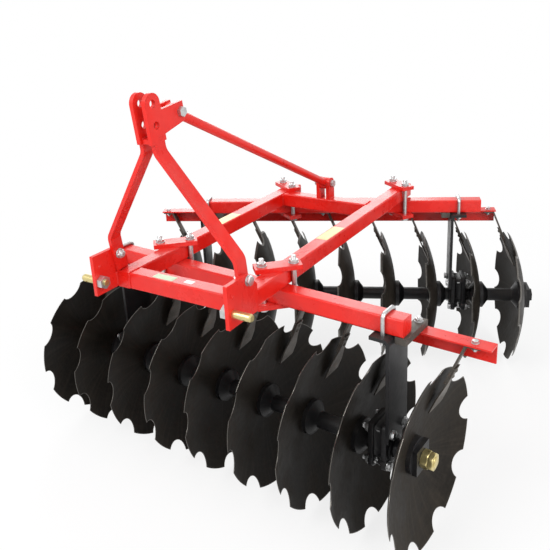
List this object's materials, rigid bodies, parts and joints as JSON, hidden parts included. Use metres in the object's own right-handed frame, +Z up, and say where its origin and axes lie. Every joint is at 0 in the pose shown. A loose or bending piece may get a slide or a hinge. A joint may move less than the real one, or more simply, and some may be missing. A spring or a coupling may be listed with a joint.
{
  "type": "offset disc harrow",
  "caption": "Three-point mounted offset disc harrow: a red box-tube frame with a leaning mast carries two angled gangs of notched discs with scrapers.",
  "frame": {"origin": "middle of the bounding box at floor level, where the discs stand", "axes": "+Z up, -Y towards the hitch, +X to the right as seen from the hitch end, which is also how left and right are meant in the names"},
  "size_m": [1.5521, 1.6038, 1.2406],
  "materials": {
    "red_paint": "glossy red enamel",
    "black_steel": "satin black paint",
    "black_casting": "black painted casting",
    "disc_steel": "dark rolled steel with ground edges",
    "scraper_steel": "bare grey-brown steel",
    "zinc": "bright zinc plate",
    "yellow_zinc": "yellow zinc plate"
  },
  "bodies": {
    "frame": {"left_side_beam": "red_paint", "right_side_beam": "red_paint", "front_cross_beam": "red_paint", "rear_cross_beam": "red_paint", "left_hitch_plate": "red_paint", "right_hitch_plate": "red_paint", "left_link_pin": "yellow_zinc", "right_link_pin": "yellow_zinc", "link_pin_nuts": "zinc", "left_mast_bar": "red_paint", "right_mast_bar": "red_paint", "mast_gusset": "red_paint", "mast_stay": "red_paint", "stay_bracket": "red_paint", "stay_bolts": "zinc", "front_gang_beam": "red_paint", "rear_gang_beam": "red_paint", "front_clamp_plates": "red_paint", "rear_clamp_plates": "red_paint", "front_clamp_bolts": "zinc", "rear_clamp_bolts": "zinc", "front_outer_hanger": "black_steel", "front_inner_hanger": "black_steel", "rear_outer_hanger": "black_steel", "rear_inner_hanger": "black_steel", "front_outer_bearing": "black_casting", "front_inner_bearing": "black_casting", "rear_outer_bearing": "black_casting", "rear_inner_bearing": "black_casting", "front_u_bolts": "zinc", "rear_u_bolts": "zinc", "front_scraper_arms": "scraper_steel", "rear_scraper_arms": "scraper_steel", "front_scraper_bar": "red_paint", "rear_scraper_bar": "red_paint", "front_scrapers": "scraper_steel", "rear_scrapers": "scraper_steel"},
    "front_gang": {"front_shaft": "black_steel", "front_discs": "disc_steel", "front_spools": "black_casting", "front_end_caps": "black_casting", "front_shaft_nut": "yellow_zinc"},
    "rear_gang": {"rear_shaft": "black_steel", "rear_discs": "disc_steel", "rear_spools": "black_casting", "rear_end_caps": "black_casting", "rear_shaft_nut": "yellow_zinc"}
  },
  "joints": [
    {"name": "front_gang_spin", "type": "hinge", "parent": "frame", "child": "front_gang", "pos_m": [-0.035, -0.498, 0.255], "axis": [0.9976, -0.0698, 0], "continuous": true},
    {"name": "rear_gang_spin", "type": "hinge", "parent": "frame", "child": "rear_gang", "pos_m": [-0.035, 0.302, 0.255], "axis": [0.9135, 0.4067, 0], "continuous": true}
  ]
}
